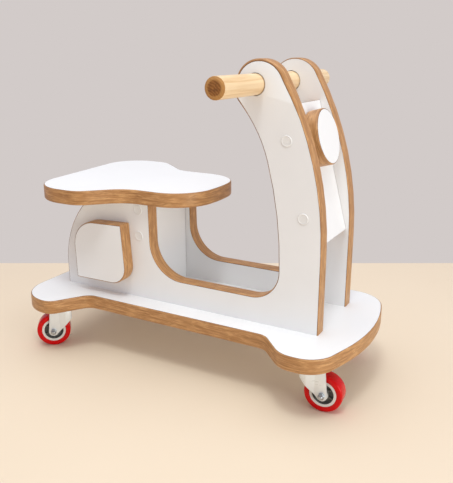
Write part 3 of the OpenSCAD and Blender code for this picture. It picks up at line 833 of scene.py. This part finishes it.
def leg_depth(x, trail):
    """Distance of a leg's outer face from the wheel's middle: flat over the axle, then out to the crown."""
    fold = trail - CREASE
    wide = CROWN_R - CROWN_IN
    if x > fold:
        return LEG_OUT
    if x > 0:
        return LEG_OUT + (wide - LEG_OUT) * (fold - x) / fold
    return math.sqrt(wide ** 2 - x ** 2)


def leg_blank(caster):
    """The leg's flat outline as one sheet, cut into strips where it is going to bend."""
    end = [math.radians(a) for a in range(-138, 1, 12)]
    outline = [(-LEG_WING, caster.crown_top), (-LEG_WING, LEG_WING_Z)]
    outline += [(caster.trail + LEG_END * math.cos(a), caster.axle_z + LEG_END * math.sin(a)) for a in end]
    outline += [(caster.trail + LEG_TOP, caster.crown_top)]
    sheet = bmesh.new()
    sheet.faces.new([sheet.verts.new((x, 0, z)) for x, z in outline])
    cuts = [caster.trail - CREASE + d for d in BEND_CUTS]
    cuts += [*BEND_CUTS] + [-LEG_WING + WING_CUT * k for k in range(1, 6)]
    for x in cuts:
        geom = sheet.verts[:] + sheet.edges[:] + sheet.faces[:]
        bmesh.ops.bisect_plane(sheet, geom=geom, plane_co=(x, 0, 0), plane_no=(1, 0, 0))
    return sheet


def thicken(sheet, by):
    """Gives an open sheet thickness along Y."""
    back = bmesh.ops.duplicate(sheet, geom=sheet.verts[:] + sheet.edges[:] + sheet.faces[:])
    twin = {a: b for a, b in back["vert_map"].items() if isinstance(a, bmesh.types.BMVert)}
    copies = set(back["geom"])
    rim = [e for e in sheet.edges if len(e.link_faces) == 1 and e not in copies]
    for vert in (v for v in copies if isinstance(v, bmesh.types.BMVert)):
        vert.co.y += by
    for edge in rim:
        a, b = edge.verts
        sheet.faces.new((a, b, twin[b], twin[a]))
    bmesh.ops.recalc_face_normals(sheet, faces=sheet.faces)


def fork_leg(bm, caster, side):
    """Pressed leg: straight front edge, round end on the axle, and a slanted lower edge up to the crown."""
    sheet = leg_blank(caster)
    for vert in sheet.verts:
        near = [leg_depth(vert.co.x + d * BEND_SOFTEN, caster.trail) for d in (-1, -0.5, 0, 0.5, 1)]
        vert.co.y = side * sum(near) / len(near)
    thicken(sheet, -side * LEG_T)
    round_edges(sheet, LEG_BREAK, 50)
    add_to(bm, sheet, caster.place @ Matrix.Scale(MM, 4))


def add_to(bm, part, place):
    """Adds a bmesh, moved by place, to another, and frees it."""
    new = {v: bm.verts.new(place @ v.co) for v in part.verts}
    for face in part.faces:
        bm.faces.new([new[v] for v in face.verts])
    part.free()


def fork(caster):
    """Pressed fork: crown plate, ball race rim and two folded legs."""
    bm = bmesh.new()
    top = caster.crown_top
    nose = caster.trail + LEG_TOP
    arc = [math.radians(a) for a in range(48, 313, 8)]
    plate = [(CROWN_R * math.cos(a), CROWN_R * math.sin(a)) for a in arc]
    plate += [(nose - CROWN_CORNER, -LEG_OUT), (nose, -LEG_OUT + CROWN_CORNER)]
    plate += [(nose, LEG_OUT - CROWN_CORNER), (nose - CROWN_CORNER, LEG_OUT)]
    prism(bm, plate, top - CROWN_T, top, caster.place, CROWN_BREAK)
    race = [(CROWN_R - RIM_T, top - RIM_SINK, 0.1), (CROWN_R, top - RIM_SINK, 0.1)]
    race += [(CROWN_R, top + RIM_H, 0.7), (CROWN_R - RIM_T, top + RIM_H, 0.7)]
    lathe(bm, race, caster.place)
    for side in (1, -1):
        fork_leg(bm, caster, side)
    name = caster.name
    piece(name + "_fork_pressing", bm, name + "_swivel", [ZINC], [name + "_fork"], 28)


def hub(caster):
    """Moulded wheel centre: bright rim ring, dished web with ribs, and a boss round the sleeve; the faces
    inside the dish are painted dark as shade.
    """
    bm = bmesh.new()
    half = [(HUB_R, HUB_FACE, 0.5), (RECESS_R, HUB_FACE, 0.6), (RECESS_R - 0.8, WEB_FACE, 1.2)]
    half += [(BOSS_R + 0.5, WEB_FACE, 1.0), (BOSS_R, BOSS_FACE, 0.6), (BORE_R, BOSS_FACE, 0.3)]
    lathe(bm, half + [(r, -h, fillet) for r, h, fillet in reversed(half)], caster.axle())
    near, far = BOSS_R - 0.6, RECESS_R - 0.5
    rib = [(near, -RIB_HALF), (far, -RIB_HALF), (far, RIB_HALF), (near, RIB_HALF)]
    for side in (1, -1):
        for k in range(RIBS):
            turn = Matrix.Rotation(2 * math.pi * (k + 0.5) / RIBS, 4, "Z")
            prism(bm, rib, WEB_FACE - 0.4, RIB_FACE, caster.axle(side) @ turn, 0.25)
    inverse = caster.axle().inverted()
    # Painted shade: faces inside the dish take the dark material.
    for face in bm.faces:
        at = inverse @ face.calc_center_median() / MM
        dished = math.hypot(at.x, at.y) < RECESS_R - 0.15 and abs(at.z) < HUB_FACE - 0.3
        face.material_index = 1 if dished else 0
    name = caster.name
    piece(name + "_wheel_centre", bm, name + "_wheel", [HUB, HUB_RECESS_SHADE], [name + "_hub"])


def tyre(caster):
    """Cast tyre: slightly crowned tread with full round shoulders, and a lip against the wheel centre."""
    bm = bmesh.new()
    w, r = TYRE_HALF, caster.axle_z
    half = [(LIP_IN, w - 0.9, 0.1), (LIP_MID, w - 0.25, 0.3), (LIP_OUT, w, 0.5)]
    half += [(r - 0.15, w - 0.1, SHOULDER)]
    corners = half + [(r, 0.0, 0)] + [(a, -b, fillet) for a, b, fillet in reversed(half)]
    lathe(bm, corners, caster.axle(), steps=128)
    name = caster.name
    piece(name + "_cast_tyre", bm, name + "_wheel", [RED], [name + "_tyre"])


def hexagon(across, twist=0.0):
    turns = [math.radians(60 * k + twist) for k in range(6)]
    return [(across / math.sqrt(3) * math.cos(a), across / math.sqrt(3) * math.sin(a)) for a in turns]


def axle_bolt(caster):
    """Hex bolt with a washer-faced head, and a threaded tip past the nut."""
    bm = bmesh.new()
    head = caster.axle(-caster.nut_side)
    prism(bm, hexagon(HEX_ACROSS), LEG_OUT + 0.3, LEG_OUT + HEX_H, head, HEX_BREAK)
    washer = [(0, LEG_OUT - 0.1, 0), (WASHER_R, LEG_OUT - 0.1, 0.1)]
    washer += [(WASHER_R, LEG_OUT + 0.5, 0.1), (0, LEG_OUT + 0.5, 0)]
    lathe(bm, washer, head, closed=False, steps=48)
    tip = LEG_OUT + BOLT_PAST
    shank = [(0, -LEG_OUT, 0), (BOLT_R, -LEG_OUT, 0), (BOLT_R, tip - THREAD_TURNS * PITCH, 0)]
    for k in range(THREAD_TURNS):
        base = tip - (THREAD_TURNS - k) * PITCH
        shank += [(BOLT_R + 0.03, base + PITCH * 0.25, 0), (BOLT_R - 0.33, base + PITCH * 0.75, 0)]
    shank += [(2.3, tip - 0.1, 0), (1.9, tip + 0.15, 0), (0, tip + 0.15, 0)]
    lathe(bm, shank, caster.axle(caster.nut_side), closed=False, steps=32)
    name = caster.name
    piece(name + "_hex_bolt", bm, name + "_swivel", [BOLT], [name + "_axle_bolt"])


def axle_nut(caster):
    """Locking nut: chamfered hexagon with a round collar for its insert."""
    bm = bmesh.new()
    out = caster.axle(caster.nut_side)
    prism(bm, hexagon(HEX_ACROSS, 12.0), LEG_OUT, LEG_OUT + HEX_H, out, HEX_BREAK)
    low, high = LEG_OUT + HEX_H - 0.2, LEG_OUT + HEX_H + 1.2
    lathe(bm, [(2.5, low, 0.1), (3.7, low, 0.1), (3.3, high, 0.6), (2.5, high, 0.2)], out, steps=48)
    name = caster.name
    piece(name + "_lock_nut", bm, name + "_swivel", [BOLT], [name + "_axle_nut"])


for name in CASTERS:
    unit = Caster(name)
    for make in (fork, hub, tyre, axle_bolt, axle_nut):
        make(unit)


# ---------------------------------------------------------------- other carried pieces

softened("seat_cleats", "frame", BATTEN, 0.6 * MM)
for node in ("board_screws", "small_screws", "caster_screws"):
    softened(node, "frame", SCREW, 0.25 * MM, 2)
softened("kingpins", "frame", BOLT, 0.3 * MM)
NODES["race_balls"].data.materials.clear()
NODES["race_balls"].data.materials.append(BALL)
for name in CASTERS:
    softened(name + "_caster_plate", "frame", ZINC, 0.4 * MM)
    softened(name + "_sleeve", name + "_swivel", BOLT, 0.1 * MM)


# ---------------------------------------------------------------- studio

# The camera, and the far end of the floor where it meets the wall in the camera's view, in metres.
CAM_AT = (0.4345, -0.7374, 0.4255)
CAM_YAW = 28.84
CAM_PITCH = 16.85
CAM_LENS = 46.65
FLOOR_WAY = 4.0
FLOOR_END = 1.248

# Each light's name, place, size, power in watts and tint; all of them face AIM.
AIM = (0, 0, 0.15)
LIGHTS = [
    ("key", (0.3, -0.7, 1.9), (0.35, 0.35), 8.6, (0.90, 0.97, 1.0)),
    ("front", (1.9, -0.6, 0.45), (1.4, 0.8), 16.0, (0.92, 0.98, 1.0)),
    ("top", (-0.1, 0.0, 2.0), (2.4, 2.4), 28.0, (0.97, 0.98, 0.95)),
]
WALL = (0.645, 0.597, 0.584, 1)
SKY = (0.470, 0.450, 0.500, 1)


def floor_paint():
    s = Shader("Floor", Specular_IOR_Level=0.25)
    at = s.place()
    s.colour(s.mix(s.noise(at, 3.0, 2.0), (0.80, 0.665, 0.50), (0.83, 0.70, 0.54)))
    s.roughness(s.noise(at, 30.0, 2.0), 0.55, 0.65)
    return s.mat


def studio_floor():
    """A flat floor square to the camera, so that its far end is the horizon line."""
    paint = floor_paint()
    bm = bmesh.new()
    yaw = math.radians(CAM_YAW)
    ahead, right = Vector((-math.sin(yaw), math.cos(yaw), 0)), Vector((math.cos(yaw), math.sin(yaw), 0))
    foot = Vector((CAM_AT[0], CAM_AT[1], 0))
    way = FLOOR_WAY
    ends = [(-way, -way), (way, -way), (way, FLOOR_END), (-way, FLOOR_END)]
    bm.faces.new([bm.verts.new(foot + right * x + ahead * y) for x, y in ends])
    mesh = bpy.data.meshes.new("floor")
    bm.to_mesh(mesh)
    bm.free()
    mesh.materials.append(paint)
    made = bpy.data.objects.new("floor", mesh)
    bpy.context.scene.collection.objects.link(made)


def area_light(name, at, size, power, tint):
    data = bpy.data.lights.new(name, "AREA")
    data.shape, data.size, data.size_y = "RECTANGLE", size[0], size[1]
    data.energy, data.color = power, tint
    made = bpy.data.objects.new(name, data)
    made.location = at
    made.rotation_euler = (Vector(AIM) - Vector(at)).to_track_quat("-Z", "Y").to_euler()
    bpy.context.scene.collection.objects.link(made)


def studio_world():
    """A plain wall colour behind the object, and a dimmer, cooler sky that lights it."""
    world = bpy.data.worlds.new("Studio")
    world.use_nodes = True
    tree = world.node_tree
    seen = tree.nodes["Background"]
    seen.inputs["Color"].default_value = WALL
    sky = tree.nodes.new("ShaderNodeBackground")
    sky.inputs["Color"].default_value = SKY
    path = tree.nodes.new("ShaderNodeLightPath")
    both = tree.nodes.new("ShaderNodeMixShader")
    tree.links.new(path.outputs["Is Camera Ray"], both.inputs[0])
    tree.links.new(sky.outputs[0], both.inputs[1])
    tree.links.new(seen.outputs[0], both.inputs[2])
    tree.links.new(both.outputs[0], tree.nodes["World Output"].inputs["Surface"])
    bpy.context.scene.world = world


def camera():
    lens = bpy.data.cameras.new("camera")
    lens.lens, lens.sensor_width, lens.clip_start = CAM_LENS, 36.0, 0.01
    made = bpy.data.objects.new("camera", lens)
    made.location = CAM_AT
    made.rotation_euler = (math.radians(90 - CAM_PITCH), 0, math.radians(CAM_YAW))
    bpy.context.scene.collection.objects.link(made)
    bpy.context.scene.camera = made


studio_floor()
for light in LIGHTS:
    area_light(*light)
studio_world()
bpy.context.scene.view_settings.view_transform = "Standard"
camera()
